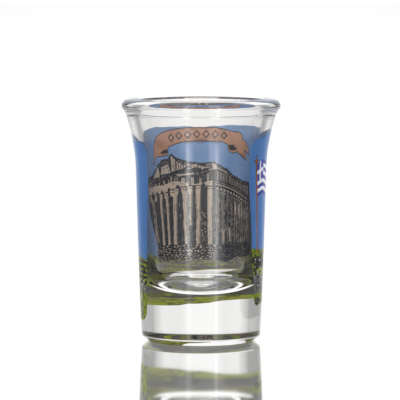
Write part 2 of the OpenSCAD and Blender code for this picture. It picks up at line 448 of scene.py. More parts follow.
def draw_bushes(d, us, z_low, z_high, crowd):
    """Bushes, and the rock and grass below them, at one end of the picture.

    us is the range of azimuth, and crowd multiplies the number of patches.
    """
    middle = (z_low + z_high) / 2
    d.scatter(SHADOW, 16 * crowd, us, (middle - 1.6, middle + 0.4), (2.0, 4.6), (0.8, 2.0))
    d.scatter(SHADOW, 110 * crowd, us, (z_low - 1, z_high - 0.4), (0.5, 2.0), (0.15, 0.6))
    d.scatter(FOLIAGE, 40 * crowd, us, (z_low, z_high - 0.5), (0.3, 1.0), (0.2, 0.5))
    d.scatter(STONE, 30 * crowd, us, (z_low - 4, middle + 1), (0.3, 0.8), (0.2, 0.5))
    # the grass below
    d.scatter(SHADOW, 70 * crowd, us, (6.0, 10.8), (0.4, 1.2), (0.3, 1.2))
    d.scatter(ROCK, 20 * crowd, us, (7.0, 10.8), (0.4, 1.2), (0.3, 1.0))
    # broken rock between them
    d.scatter(SHADOW, 40 * crowd, us, (11.0, z_low), (0.3, 1.4), (0.12, 0.4))
    d.scatter(FOLIAGE, 16 * crowd, us, (11.5, z_low), (0.4, 1.2), (0.15, 0.4))


def draw_temple_mass(d):
    """The dark shape of the whole temple, with its broken gable."""
    d.add(SHADOW, list(ROOF) + [(82, 34.0), (57, 22.8)] + list(BASE[::-1]))


def draw_gable(d):
    """Slabs of broken stone under the raking edge."""
    d.add(STONE, [(62, 39.9), (57, 41.4), (52, 42.7), (49.6, 41.6), (49, 40.1)])
    d.add(STONE, [(47, 40.6), (46, 42.6), (41, 43.1), (35.4, 43.3), (33, 41.0)])
    d.add(STONE, [(31.6, 41.3), (32.4, 45.6), (30.4, 45.4), (29, 41.4)])
    d.add(STONE, [(28.4, 41.5), (29.6, 45.0), (27.6, 44.7), (27, 41.6)])
    for i, u in enumerate((24.6, 22, 19.4, 16.8)):
        high = 44.1 - 0.35 * i
        low = 41.6 + 0.2 * i
        d.add(STONE, [(u + 0.9, low), (u + 0.6, high), (u - 0.6, high - 0.2), (u - 0.9, low + 0.2)])
    # worn carving in the middle
    for u, z, wide, high in (
        (12, 42.2, 1.6, 0.4), (12, 43.1, 1.4, 0.35), (8, 42.7, 1.0, 1.1), (5, 42.9, 1.1, 1.2),
        (1.5, 42.6, 0.8, 1.0), (-1.5, 42.3, 0.9, 1.1), (-5, 42.4, 1.5, 0.4), (-7, 43.2, 1.2, 0.4),
    ):
        d.blob(STONE, u, z, wide, high, 9, 0.25)
        d.blob(SHADOW, u - 0.3, z, 0.3 * wide, 0.35 * high, 7, 0.2)
    d.add(STONE, [(-11.6, 42.0), (-11.4, 43.6), (-14.5, 43.4), (-16.4, 42.8), (-16.0, 42.1)])
    d.line(STONE, [(-8, 41.8), (-18, 42.2), (-23, 41.6), (-28, 40.8)], 0.24)
    # specks of light on the rubble along the top, and small dark stones on its edge
    for _ in range(110):
        u = d.dice.uniform(-58, 64)
        z = between(ROOF, u)
        d.blob(SHADOW, u, z + 0.05, d.dice.uniform(0.3, 0.9), d.dice.uniform(0.2, 0.6), 6)
        z -= d.dice.uniform(0.4, 1.3)
        d.blob(STONE, u, z, d.dice.uniform(0.12, 0.6), d.dice.uniform(0.1, 0.3), 6)
    # cracks and pitting
    for _ in range(44):
        u = d.dice.uniform(14, 62)
        z = d.dice.uniform(40.6, 43.8)
        end = (u + d.dice.uniform(-1.6, 1.6), z + d.dice.uniform(-0.8, 0.8))
        d.line(d.dice.choice((SHADOW, ROCK)), [(u, z), end], 0.13)
    d.scatter(ROCK, 30, (14, 60), (40.6, 44.2), (0.3, 1.1), (0.15, 0.5))
    d.scatter(SHADOW, 30, (14, 60), (40.4, 44.0), (0.2, 0.6), (0.12, 0.35))


# The blocks that stand on the front beams: azimuth, width in degrees, height in mm
BEAM_BLOCKS = (
    (-7, 2.2, 2.2), (0.6, 2.0, 1.5), (8.6, 2.4, 1.9), (18.7, 3.6, 1.2), (25, 1.4, 1.4),
    (28, 1.4, 1.1), (32.2, 1.8, 1.5), (35.5, 1.4, 1.0), (42, 2.2, 1.2), (50, 2.0, 0.9),
    (57, 2.4, 0.8), (64, 2.0, 0.8), (71, 2.6, 0.7),
)
# Degrees from one carved block of the side beams to the next, and from one block end to the next
CARVING_PITCH = 3.3
BLOCK_PITCH = 3.9


def draw_beams(d):
    """The beams over the columns, the row of blocks on them and the cornice."""
    band(d, STONE, BEAM_LOW, BEAM_TOP, -12, 77)
    for u in (66, 55, 46, 35.5, 24.6, 11.3, -2.4):
        d.blob(SHADOW, u, between(BEAM_LOW, u) + 0.1, 1.3, 1.3, 10, 0.2)
    for u, wide, tall in BEAM_BLOCKS:
        low = between(BEAM_TOP, u) - 0.2
        left, right = u + wide / 2, u - wide / 2
        d.add(STONE, [(left, low), (left, low + tall), (right, low + tall), (right, low)])
        d.line(SHADOW, [(u, low + 0.3), (u, low + tall)], 0.12)
    d.line(STONE, [(u, between(CORNICE, u) - 0.1) for u in spread(24, 7, 4)], 0.42)
    for _ in range(60):
        u = d.dice.uniform(-10, 76)
        z = between(CORNICE, u) - d.dice.uniform(-0.3, 0.5)
        d.blob(STONE, u, z, d.dice.uniform(0.2, 0.7), d.dice.uniform(0.1, 0.25), 6)
    d.scatter(SHADOW, 34, (-12, 74), (36.4, 38.8), (0.3, 1.2), (0.08, 0.25))
    d.scatter(ROCK, 30, (-12, 74), (36.2, 38.6), (0.3, 1.4), (0.1, 0.3))
    d.scatter(ROCK, 20, (-10, 74), (39.2, 40.4), (0.2, 0.7), (0.15, 0.4))
    draw_side_beams(d)


def draw_side_beams(d):
    """The long side's beams lie in shade, with light on their edges and carving."""
    d.line(STONE, [(u, between(SIDE_BEAM, u) + 0.5) for u in spread(-14, -60, 3)], 0.2)
    d.line(ROCK, [(u, between(SIDE_BEAM, u) + 1.1) for u in spread(-14, -60, 3)], 0.18)
    # carved blocks in outline
    u = -17.4
    while u > -62:
        low = between(SIDE_BEAM, u) + 1.7
        high = min(between(ROOF, u) - 1.2, low + 1.9)
        d.line(STONE, [(u, low), (u, high), (u - 1.5, high)], 0.17)
        d.line(ROCK, [(u - 1.5, high), (u - 1.5, low - 0.1)], 0.16)
        u -= CARVING_PITCH
    # ends of the blocks under them
    u = -16.4
    while u > -60:
        z = between(SIDE_BEAM, u) - 0.7
        d.add(STONE, [(u, z - 0.1), (u, z + 0.4), (u - 2.3, z + 0.3), (u - 1.9, z - 0.15)])
        d.blob(STONE, u - 1.4, z - 0.75, 0.7, 0.4, 6)
        u -= BLOCK_PITCH
    d.scatter(SHADOW, 30, (-60, -14), (34.5, 40.0), (0.15, 0.6), (0.1, 0.25))


# Lit shafts of the front, as (u at the top, u at the foot, width, share of the height, raggedness)
SHAFTS = (
    (-9.2, -9.4, 5.4, 1.0, 0.8),
    (3.4, 3.6, 4.6, 1.0, 1.0),
    (11.2, 11.7, 3.4, 0.65, 1.6),
    (17.6, 16.9, 4.6, 1.0, 1.8),
    (28.6, 29.8, 4.4, 1.0, 0.9),
    (39.4, 37.8, 3.2, 1.0, 0.8),
    (48.6, 46.0, 3.6, 1.0, 0.9),
)
# Heads of the columns: their azimuths, and half their width in degrees
CAPITALS = (-9.3, 2.7, 11.4, 18.5, 26.5, 32, 40, 48, 57.8, 71)
CAPITAL_HALF = 2.6


def draw_capital(d, u):
    half = CAPITAL_HALF
    top = between(BEAM_LOW, u) - 0.25
    d.add(
        STONE,
        [
            (u - half * 0.6, top - 1.5),
            (u + half * 0.6, top - 1.5),
            (u + half, top - 0.7),
            (u + half, top),
            (u - half, top),
            (u - half, top - 0.7),
        ],
    )
    d.line(SHADOW, [(u - half, top - 0.5), (u + half, top - 0.5)], 0.13)


def grain(d, inks, count, u_range, z_range, long, width):
    """Short upright strokes. long is the range of their length in mm."""
    for _ in range(count):
        u = d.dice.uniform(*u_range)
        z = d.dice.uniform(*z_range)
        end = (u + d.dice.uniform(-0.25, 0.25), z + d.dice.uniform(*long))
        d.line(d.dice.choice(inks), [(u, z), end], width)


def draw_columns(d):
    """The front's columns, with their weathering, and then the side's."""
    # the last column at the far corner is half lost in shade
    foot_u, foot_z = 57.6, 23.6
    d.strip(ROCK, foot_u, 65.0, foot_z, 34.6, 7.0, 1.2)
    for _ in range(150):
        t = d.dice.random()
        u = foot_u + 7.4 * t + d.dice.uniform(-3.6, 3.6)
        z = foot_z + 10.5 * t
        ink = d.dice.choice((SHADOW, STONE, STONE))
        d.line(ink, [(u, z), (u + 0.5, z + d.dice.uniform(0.3, 1.1))], 0.13)
    for u_top, u_foot, wide, share, rough in SHAFTS:
        top = between(BEAM_LOW, u_top) - 1.2
        foot = top - (top - between(FEET, u_foot)) * share
        shade = u_foot - wide * 0.62
        d.strip(ROCK, shade, u_top - wide * 0.62, foot, top, wide * 0.5, 0.8)
        d.strip(STONE, u_foot, u_top, foot, top, wide, rough)
        for _ in range(3):
            u = (u_top + u_foot) / 2 + d.dice.uniform(-0.4, 0.4) * wide
            z = d.dice.uniform(foot, top - 3)
            d.line(ROCK, [(u, z), (u, z + d.dice.uniform(1.5, 4))], 0.12)
        for _ in range(22):
            u = u_foot - wide * d.dice.choice((0.5, -0.5)) + d.dice.uniform(-0.4, 0.4)
            z = d.dice.uniform(foot, top)
            ink = d.dice.choice((SHADOW, STONE))
            d.blob(ink, u, z, d.dice.uniform(0.12, 0.3), d.dice.uniform(0.15, 0.5), 6)
    for u in CAPITALS:
        draw_capital(d, u)
    # grain in the shade between the shafts, and weathering on them
    grain(d, (ROCK, STONE, ROCK), 90, (-6, 56), (23, 34.5), (0.3, 1.0), 0.1)
    grain(d, (SHADOW, ROCK), 70, (-12, 56), (23, 34.5), (0.2, 0.8), 0.1)
    d.scatter(STONE, 30, (-5, 0.5), (23, 31), (0.12, 0.4), (0.15, 0.5))
    draw_side_columns(d)


def draw_side_columns(d):
    """The long side in shade: grey shafts, with a little light on them."""
    u, gap = -17.0, 6.4
    while u > -70:
        top = between(SIDE_BEAM, u) - 0.9
        d.strip(ROCK, u - 1.2, u, between(FEET, u), top, gap * 0.62, 0.8)
        d.line(ROCK, [(u - 0.35 * gap, between(FEET, u)), (u + 0.8 - 0.35 * gap, top - 0.4)], 0.13)
        u -= gap
        gap = max(3.6, gap * 0.88)
    grain(d, (SHADOW, ROCK, ROCK), 200, (-66, -13), (24, 34), (0.5, 2.2), 0.13)
    # where the light catches them, as (u, lowest, highest)
    for u, low, high in ((-25, 23.3, 26.4), (-32.5, 23.7, 27.3), (-39, 30.5, 33.8), (-45, 29.8, 33.2)):
        d.strip(STONE, u - 0.9, u, low, high, 1.9, 0.5)
    for u, low, high in ((-49.5, 29.4, 32.9), (-54.5, 29.4, 32.2), (-61, 25.0, 31.4)):
        d.strip(STONE, u - 1.2, u, low, high, 1.2, 0.5)
    grain(d, (STONE,), 220, (-64, -13), (23.5, 34), (0.2, 1.0), 0.11)


# Courses of the stepped base: height of the highest, lowest bound, pitch, and ends in azimuth
COURSE_TOP = 22.4
COURSE_LOW = 16.8
COURSE_PITCH = 0.6
COURSE_ENDS = (-15.0, 61)


def draw_steps(d):
    """The stepped base: broken courses of light stone over rubble."""
    d.scatter(ROCK, 150, (-80, -13), (18.2, 23.2), (0.3, 1.8), (0.12, 0.45))
    d.scatter(SHADOW, 60, (-80, -13), (18.0, 22.8), (0.4, 1.6), (0.12, 0.3))
    z = COURSE_TOP
    while z > COURSE_LOW:
        u = COURSE_ENDS[0]
        while u < COURSE_ENDS[1]:
            wide = d.dice.uniform(0.3, 1.2)
            if d.dice.random() < 0.8:
                d.blob(STONE, u, z + d.dice.uniform(-0.2, 0.2), wide, d.dice.uniform(0.25, 0.6), 6)
            u += (wide + d.dice.uniform(0.15, 0.6)) / ARC
        z -= COURSE_PITCH
    d.scatter(SHADOW, 70, (-14, 60), (17.0, 22.6), (0.2, 0.8), (0.1, 0.3))
    d.scatter(STONE, 60, (-78, -12), (17.0, 22.4), (0.15, 0.6), (0.12, 0.3))
    d.scatter(FOLIAGE, 26, (-20, 50), (16.4, 18.4), (0.5, 2.0), (0.15, 0.4))
    # fallen blocks in front of the long side
    for i in range(9):
        u = -41 - 3.7 * i
        z = 16.6 + 1.5 * math.sin(i * 0.9) + 0.1 * i
        d.blob(STONE, u, z + 0.3, 2.0, 1.3, 9, 0.2)
        d.blob(ROCK, u, z + 0.2, 1.5, 0.9, 9, 0.2)
        d.blob(SHADOW, u - 0.5, z, 0.9, 0.4, 7, 0.2)
    for u, z in ((-24, 15.6), (-29, 15.2), (-27, 14.6), (-38, 14.8)):
        d.blob(STONE, u, z, 1.6, 0.5, 7, 0.3)
    # a painted highlight: light-stone patches put where a small bright glint shows, not fallen blocks
    d.scatter(STONE, 16, (10, 16), (19.8, 21.4), (0.4, 0.9), (0.3, 0.6))


# Edges of the ribbon, its forked tails, the lobes where it turns back and its folds, as (u, z)
BANNER_TOP = (
    (-44.5, 51.0), (-40, 52.0), (-31, 52.2), (-24, 52.8), (-13, 53.4), (2, 53.5), (13, 53.3),
    (22, 53.0), (34, 52.4), (43, 51.6), (51, 50.5),
)
BANNER_LOW = (
    (-44.5, 49.6), (-36, 48.8), (-28, 48.7), (-22, 49.6), (-8, 49.8), (7, 49.8), (19, 49.5),
    (28, 48.8), (35, 48.1), (57, 48.2),
)
TAILS = (
    (
        (-42, 50.4), (-51.5, 49.4), (-57.5, 47.5), (-60, 46.0), (-50, 47.6), (-57, 44.5),
        (-41, 46.6), (-36, 48.8),
    ),
    ((51, 50.0), (57, 48.2), (60, 43.4), (55.5, 45.3), (48, 45.7), (36, 45.9), (35, 48.1)),
)
LOBES = (
    ((-28, 48.7), (-40, 48.7), (-40.5, 47.2), (-37, 46.6), (-33, 46.5), (-28.5, 47.3)),
    ((52, 48.4), (50, 46.0), (36, 45.9), (35, 48.3)),
)
FOLDS = (
    ((-28, 48.5), (-33, 48.7), (-39.5, 47.6), (-35, 47.1), (-30, 47.3)),
    ((35.8, 47.5), (41.5, 47.2), (47.6, 46.3), (41, 46.2), (36, 46.4)),
)
# The row of lozenges: how many, and in degrees, its middle and its pitch
LOZENGES = 7
LOZENGE_U = 4
LOZENGE_PITCH = 8.8


def draw_banner(d):
    """A ribbon with forked tails and dark folds."""
    ribbon = BANNER_TOP + BANNER_LOW[::-1]
    parts = TAILS + LOBES + (ribbon,)
    for points in parts:
        for a, b in zip(points, points[1:] + points[:1]):
            d.line(SHADOW, [a, b], 0.42)
    for points in parts:
        d.add(BANNER, points)
    for fold in FOLDS:
        d.add(SHADOW, fold)
    # a plain row of lozenges
    for i in range(LOZENGES):
        u = LOZENGE_U + (i - LOZENGES // 2) * LOZENGE_PITCH
        z = (between(BANNER_TOP, u) + between(BANNER_LOW, u)) / 2
        d.add(SHADOW, [(u - 3.9, z), (u, z + 1.2), (u + 3.9, z), (u, z - 1.2)])
        d.add(BANNER, [(u - 2.3, z), (u, z + 0.7), (u + 2.3, z), (u, z - 0.7)])


# Azimuth of the flagpole, the height of its crosspiece, and the flag's size and top, in mm
POLE_U = -123.3
CROSS_Z = 45.2
FLAG_W = 10.5
FLAG_H = 8.0
FLAG_TOP = 44.5
# the flag's stripes, and as shares of its width, its corner field and the cross's upright in it
STRIPES = 9
FIELD = 0.37
UPRIGHT = (0.15, 0.22)


def flag_point(x, y):
    """A point of the waving flag: x and y from 0 to 1, from the pole and from the top."""
    wave = 0.75 * math.sin(x * 5.2 + 0.3) * min(1.0, 3 * x)
    z = FLAG_TOP - y * FLAG_H + wave + 1.2 * x * (1 - y)
    return (POLE_U + 0.6 + x * FLAG_W / ARC, z)


def flag_patch(d, ink, x0, x1, y0, y1):
    """A patch of the flag, in the shares that flag_point takes."""
    top = [flag_point(x, y0) for x in spread(x0, x1, 0.06)]
    low = [flag_point(x, y1) for x in spread(x1, x0, 0.06)]
    d.add(ink, top + low)


def draw_flag(d):
    """A striped flag with a cross in its corner, on a pole with a crosspiece and a finial."""
    flag_patch(d, FLAG_BLUE, 0.0, 1.0, 0.0, 1.0)
    for i in (1, 3, 5, 7):
        start = FIELD if i < 5 else 0.0
        flag_patch(d, FLAG_WHITE, start, 1.0, i / STRIPES, (i + 1) / STRIPES)
    flag_patch(d, FLAG_WHITE, 0.0, FIELD, 2 / STRIPES, 3 / STRIPES)
    flag_patch(d, FLAG_WHITE, *UPRIGHT, 0.0, 5 / STRIPES)
    pole = [(POLE_U, horizon_z(-123) - 0.6), (POLE_U, 45.4)]
    d.line(SHADOW, pole, 0.62)
    d.line(POLE, pole, 0.46)
    d.line(SHADOW, [(POLE_U - 3.0, CROSS_Z), (POLE_U + 3.0, CROSS_Z)], 0.7)
    d.line(POLE, [(POLE_U - 2.4, CROSS_Z), (POLE_U + 2.4, CROSS_Z)], 0.4)
    d.line(SHADOW, [(POLE_U, CROSS_Z), (POLE_U, 46.8)], 0.5)
    d.line(POLE, [(POLE_U, CROSS_Z), (POLE_U, 46.4)], 0.3)


def draw_foreground(d):
    """Grass and rubble in front of the temple, and deeper shade at the two ends."""
    d.scatter(FOLIAGE, 26, (-60, 66), (13.4, 15.8), (2.0, 5.0), (0.5, 1.1))
    d.scatter(STONE, 30, (-66, 66), (13.8, 16.2), (0.4, 1.2), (0.15, 0.35))
    # the near end on the camera's left: rows of grass over a dark gap in the rock
    for z in (20.2, 18.9, 17.7, 16.6):
        d.line(SHADOW, [(94, z + 0.4), (110, z), (132, z - 0.2)], 0.45)
    d.scatter(SHADOW, 8, (110, 128), (14.7, 15.9), (1.2, 2.6), (0.7, 1.2))
    d.scatter(STONE, 7, (106, 126), (14.5, 15.8), (0.4, 0.8), (0.3, 0.5))
    # the near end on its right: a dark bush with light stones beside it, over cracked rock
    d.scatter(SHADOW, 14, (-126, -98), (18.8, 21.6), (1.4, 3.0), (0.7, 1.4))
    d.scatter(SHADOW, 30, (-128, -88), (12.4, 17.4), (0.6, 2.0), (0.2, 0.5))
    d.scatter(SHADOW, 22, (-126, -92), (7.6, 12.2), (0.8, 1.8), (0.4, 0.9))
    d.scatter(FOLIAGE, 8, (-124, -96), (17.4, 18.8), (1.0, 2.0), (0.4, 0.8))
    d.scatter(STONE, 20, (-112, -92), (17.0, 22.0), (0.4, 0.9), (0.35, 0.6))
    d.scatter(STONE, 22, (-108, -90), (9.0, 15.5), (0.4, 0.8), (0.3, 0.6))


def draw_picture():
    d = Drawing(seed=11)
    d.add_flat(SKY, picture_outline())
    draw_ground(d)
    draw_temple_mass(d)
    draw_gable(d)
    draw_beams(d)
    draw_columns(d)
    draw_steps(d)
    draw_banner(d)
    draw_foreground(d)
    draw_flag(d)
    return d


# ------------------------------------------------------------------ from drawing to films

# extra points that let the films follow the round wall: their spacing, and the area they fill
GRID_X = 0.55
GRID_Z = 0.9
GRID_HALF_WIDTH = 38.0
GRID_LOW = 4.0
GRID_HIGH = 56.0
# the triangulation keeps what lies inside the outlines, and joins points that are this close
INSIDE_ONLY = 1
JOIN = 1e-5
# how far a film stands out of the wall, and how far it reaches into the glass, in mm
INK_OUT = 0.03
INK_IN = 0.012
# material slots of a film
OUTSIDE = 0
WITHIN = 1


def inside(x, z, outline):
    """Whether the outline goes round the point an odd number of times."""
    odd = False
    x0, z0 = outline[-1]
    for x1, z1 in outline:
        if (z0 > z) != (z1 > z) and x < x0 + (z - z0) * (x1 - x0) / (z1 - z0):
            odd = not odd
        x0, z0 = x1, z1
    return odd


def cut_into_areas(d):
    """Triangles of the drawing, sorted by the ink that is on top.

    The first shape is the outline of the whole picture. Every outline is an edge of the
    triangulation, so each triangle belongs to one ink only.
    """
    coords, edges = [], []
    for _, points in d.shapes:
        start, count = len(coords), len(points)
        coords.extend(Vector(p) for p in points)
        edges.extend((start + i, start + (i + 1) % count) for i in range(count))
    border = list(range(len(d.shapes[0][1])))
    for x in spread(-GRID_HALF_WIDTH, GRID_HALF_WIDTH, GRID_X):
        for z in spread(GRID_LOW, GRID_HIGH, GRID_Z):
            coords.append(Vector((x, z)))
    cut = geometry.delaunay_2d_cdt(coords, edges, [border], INSIDE_ONLY, JOIN, True)
    verts, _, all_faces, _, _, origins = cut
    faces = [face for face, origin in zip(all_faces, origins) if origin]
    middles = []
    for i, face in enumerate(faces):
        middle = sum((verts[v] for v in face), Vector((0, 0))) / len(face)
        middles.append((middle.x, middle.y, i))
    middles.sort()
    across = [m[0] for m in middles]
    ink_of = [d.shapes[0][0]] * len(faces)
    for ink, points in d.shapes[1:]:
        first = bisect.bisect_left(across, min(p[0] for p in points))
        last = bisect.bisect_right(across, max(p[0] for p in points))
        low, high = min(p[1] for p in points), max(p[1] for p in points)
        for x, z, i in middles[first:last]:
            if low < z < high and inside(x, z, points):
                ink_of[i] = ink
    areas = {}
    for face, ink in zip(faces, ink_of):
        areas.setdefault(ink, []).append(tuple(face))
    return verts, areas


def on_wall(x, z, out):
    """Where a point of the flat drawing lies on the glass, out mm off its wall."""
    angle = math.radians(90 + x / ARC)
    r = (outer_r(z) + out) * MM
    return (r * math.cos(angle), r * math.sin(angle), z * MM)


def film(name, flat_verts, triangles):
    """A closed film on the wall: the face towards the air, the face in the glass, and a rim."""
    used = sorted({v for t in triangles for v in t})
    index = {v: i for i, v in enumerate(used)}
    count = len(used)
    verts = [on_wall(flat_verts[v].x, flat_verts[v].y, INK_OUT) for v in used]
    verts += [on_wall(flat_verts[v].x, flat_verts[v].y, -INK_IN) for v in used]
    faces, slots = [], []
    edge_faces = {}
    for t in triangles:
        a, b, c = (index[v] for v in t)
        faces.append((a, c, b))
        slots.append(OUTSIDE)
        faces.append((a + count, b + count, c + count))
        slots.append(WITHIN)
        for p, q in ((a, b), (b, c), (c, a)):
            key = (min(p, q), max(p, q))
            edge_faces.setdefault(key, []).append((p, q))
    rim = [pairs[0] for pairs in edge_faces.values() if len(pairs) == 1]
    for p, q in rim:
        faces.append((p, q, q + count, p + count))
        slots.append(OUTSIDE)
    mesh = bpy.data.meshes.new(name)
    mesh.from_pydata(verts, [], faces)
    mesh.polygons.foreach_set("material_index", slots)
    mesh.shade_smooth()
    sharp = {(min(p, q), max(p, q)) for p, q in rim}
    sharp |= {(p + count, q + count) for p, q in sharp}
    for edge in mesh.edges:
        key = (min(edge.vertices), max(edge.vertices))
        edge.use_edge_sharp = key in sharp
    mesh.update()
    obj = bpy.data.objects.new(name, mesh)
    bpy.context.scene.collection.objects.link(obj)
    return obj


# -------------------------------------------------------------------------------- materials


def new_material(name):
    material = bpy.data.materials.new(name)
    material.use_nodes = True
    tree = material.node_tree
    return material, tree, tree.nodes["Principled BSDF"]


def noise_texture(tree, scale, detail):
    """Noise in the object's own space, as the output that holds its value."""
    coords = tree.nodes.new("ShaderNodeTexCoord")
    texture = tree.nodes.new("ShaderNodeTexNoise")
    texture.inputs["Scale"].default_value = scale
    texture.inputs["Detail"].default_value = detail
    texture.inputs["Roughness"].default_value = 0.6
    tree.links.new(coords.outputs["Object"], texture.inputs["Vector"])
    return texture.outputs["Fac"]


def mottle(tree, value, low, high, start, end):
    """A colour that goes from low to high as the value goes from start to end."""
    ramp = tree.nodes.new("ShaderNodeValToRGB")
    ramp.color_ramp.elements[0].position = start
    ramp.color_ramp.elements[0].color = (*low, 1)
    ramp.color_ramp.elements[1].position = end
    ramp.color_ramp.elements[1].color = (*high, 1)
    tree.links.new(value, ramp.inputs["Fac"])
    return ramp.outputs["Color"]


def add_bump(tree, shader, value, strength, distance):
    """Fine relief on a surface. distance is in metres."""
    bump = tree.nodes.new("ShaderNodeBump")
    bump.inputs["Strength"].default_value = strength
    bump.inputs["Distance"].default_value = distance
    tree.links.new(value, bump.inputs["Height"])
    tree.links.new(bump.outputs["Normal"], shader.inputs["Normal"])


def ink_material(name, low, high, mottling, through, clear):
    """Ink that lets part of the light behind it through.

    clear is the share of the surface that does so, and through is the colour of that light. It
    is None on the side that lies in the glass, which has no gloss: the light takes the ink's
    shades there, and on that side they carry painted backlight.
    """
    material, tree, shader = new_material(name)
    scale, start, end = mottling
    grain = noise_texture(tree, scale, detail=4)
    colour = mottle(tree, grain, low, high, start, end)
    tree.links.new(colour, shader.inputs["Base Color"])
    glow = tree.nodes.new("ShaderNodeBsdfTranslucent")
    if through is None:
        shader.inputs["Roughness"].default_value = 0.5
        shader.inputs["Specular IOR Level"].default_value = 0.0
        tree.links.new(colour, glow.inputs["Color"])
    else:
        shader.inputs["Roughness"].default_value = 0.14
        shader.inputs["Specular IOR Level"].default_value = 0.3
        glow.inputs["Color"].default_value = (*through, 1)
        add_bump(tree, shader, grain, strength=0.06, distance=0.00004)
    mix = tree.nodes.new("ShaderNodeMixShader")
    mix.inputs["Fac"].default_value = clear
    tree.links.new(shader.outputs[0], mix.inputs[1])
    tree.links.new(glow.outputs[0], mix.inputs[2])
    tree.links.new(mix.outputs[0], tree.nodes["Material Output"].inputs["Surface"])
    return material


def glass_material():
    """Clear soda glass with a faint ripple, as pressed ware has."""
    material, tree, shader = new_material("clear_glass")
    shader.inputs["Base Color"].default_value = (0.966, 0.963, 0.953, 1)
    shader.inputs["Roughness"].default_value = 0.0
    shader.inputs["IOR"].default_value = 1.5
    shader.inputs["Transmission Weight"].default_value = 1.0
    ripple = noise_texture(tree, scale=90, detail=1)
    add_bump(tree, shader, ripple, strength=0.02, distance=0.00005)
    return material


# Each ink: its two shades from outside, its two shades from inside the glass, which are the ink's
# own colour made lighter and greyer by painted backlight, the colour of the light that it lets in,
# and its mottling: the scale of the noise, and where in the noise the change from one shade to the
# other starts and ends
INKS = {
    SKY: (
        (0.056, 0.17, 0.445), (0.065, 0.195, 0.5), (0.34, 0.49, 0.74), (0.37, 0.53, 0.78),
        (0.7, 0.85, 1.0), (250, 0.3, 0.7),
    ),
    FOLIAGE: (
        (0.04, 0.05, 0.0), (0.22, 0.3, 0.0), (0.3, 0.31, 0.12), (0.56, 0.6, 0.16),
        (0.6, 0.62, 0.2), (900, 0.42, 0.5),
    ),
    ROCK: (
        (0.1, 0.1, 0.105), (0.17, 0.17, 0.17), (0.21, 0.2, 0.195), (0.36, 0.335, 0.315),
        (0.45, 0.45, 0.45), (700, 0.35, 0.65),
    ),
    STONE: (
        (0.7, 0.66, 0.62), (0.88, 0.84, 0.8), (0.8, 0.69, 0.6), (0.85, 0.75, 0.66),
        (0.82, 0.75, 0.69), (900, 0.35, 0.6),
    ),
    SHADOW: (
        (0.008, 0.008, 0.01), (0.025, 0.025, 0.028), (0.028, 0.028, 0.055), (0.075, 0.07, 0.11),
        (0.05, 0.05, 0.07), (1300, 0.45, 0.7),
    ),
    BANNER: (
        (0.6, 0.2, 0.1), (0.75, 0.27, 0.15), (0.67, 0.4, 0.27), (0.73, 0.45, 0.31),
        (0.9, 0.76, 0.66), (500, 0.3, 0.7),
    ),
    FLAG_BLUE: (
        (0.03, 0.04, 0.3), (0.04, 0.055, 0.38), (0.05, 0.07, 0.4), (0.07, 0.09, 0.5),
        (0.3, 0.35, 0.7), (400, 0.3, 0.7),
    ),
    FLAG_WHITE: (
        (0.75, 0.77, 0.83), (0.85, 0.87, 0.92), (0.8, 0.8, 0.85), (0.9, 0.9, 0.92),
        (1.0, 1.0, 1.0), (400, 0.3, 0.7),
    ),
    POLE: (
        (0.32, 0.1, 0.01), (0.42, 0.14, 0.015), (0.4, 0.14, 0.06), (0.5, 0.22, 0.09),
        (0.5, 0.25, 0.05), (500, 0.3, 0.7),
    ),
}


# Share of the surface that lets light through, seen from outside and from inside the glass
CLEAR_OUT = 0.3
CLEAR_IN = 0.6


def make_films():
    """One film for each ink, with its own material on each side. The side in the glass has painted
    backlight in its shades.
    """
    flat_verts, areas = cut_into_areas(draw_picture())
    for node, (low, high, ink_and_painted_backlight_low, ink_and_painted_backlight_high, through, mottling) in INKS.items():
        name = node.replace("_print", "_ink")
        obj = film(name, flat_verts, areas[node])
        outside = ink_material(name, low, high, mottling, through, CLEAR_OUT)
        # the side in the glass: its shades are the ink's colour lit up by painted backlight
        within = ink_material(name + "_inside_painted_backlight", ink_and_painted_backlight_low, ink_and_painted_backlight_high, mottling, None, CLEAR_IN)
        obj.data.materials.append(outside)
        obj.data.materials.append(within)
        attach(obj, "root")
        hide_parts(node)


def make_glass():
    obj = lathe("glass", glass_profile(), LATHE_STEPS)
    obj.data.materials.append(glass_material())
    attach(obj, "root")
    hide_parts("glass_body")


# ------------------------------------------------------------------------ stage, in metres

# Half the floor's width, its drop below the foot, and the strength of its own faint glow
FLOOR_HALF = 12.0
FLOOR_DROP = 0.00002
FLOOR_GLOW = 0.12

# A lamp behind the glass, aimed at its middle: size, power in watts, and place
BACKLIGHT_SIZE = (1.3, 0.4)
BACKLIGHT_POWER = 26.0
BACKLIGHT_AT = Vector((0, 0.5, 0.2))
BACKLIGHT_AIM = Vector((0, 0, 0.03))

# Brightness round the light tent, as (degrees, brightness). Degrees run from the camera (0) by
# its left (90), behind the glass (180) and its right (270) back to the camera (360). The two
# glints show as tall highlights on the front of the glass.
FRONT = 0.5
SIDE = 0.3
EDGE = 0.45
GLINT_LEFT = 2.8
GLINT_RIGHT = 4.5
RING = (
    (0, FRONT), (14, FRONT), (17, 1.2), (24, GLINT_LEFT), (31, 0.9), (48, SIDE), (139, SIDE),
    (142, EDGE), (152, 0.76), (166, 0.78), (176, 0.9), (184, 0.9), (194, 0.76), (208, 0.76),
    (218, EDGE), (221, SIDE), (312, SIDE), (318, 1.1), (326, 1.5), (331, GLINT_RIGHT),
    (336, 1.5), (345, 1.1), (348, FRONT), (360, FRONT),
)
# Over the ring comes a dome, as (height on the unit sphere, brightness). The ring turns into the
# dome between the two heights of LIFT.
LIFT = (0.3, 0.45)
DOME = ((0.7, 1.1), (0.9, 0.6))
# Strength of the plain white that the camera sees past the glass
BACKDROP = 1.05

# The camera: lens and sensor in mm, place, angle below the level in degrees, and nearest view
CAMERA_LENS = 254.0
CAMERA_SENSOR = 36.0
CAMERA_AT = (-0.00025, -0.7, 0.0884)
CAMERA_DOWN = 4.36
CAMERA_CLIP = 0.01


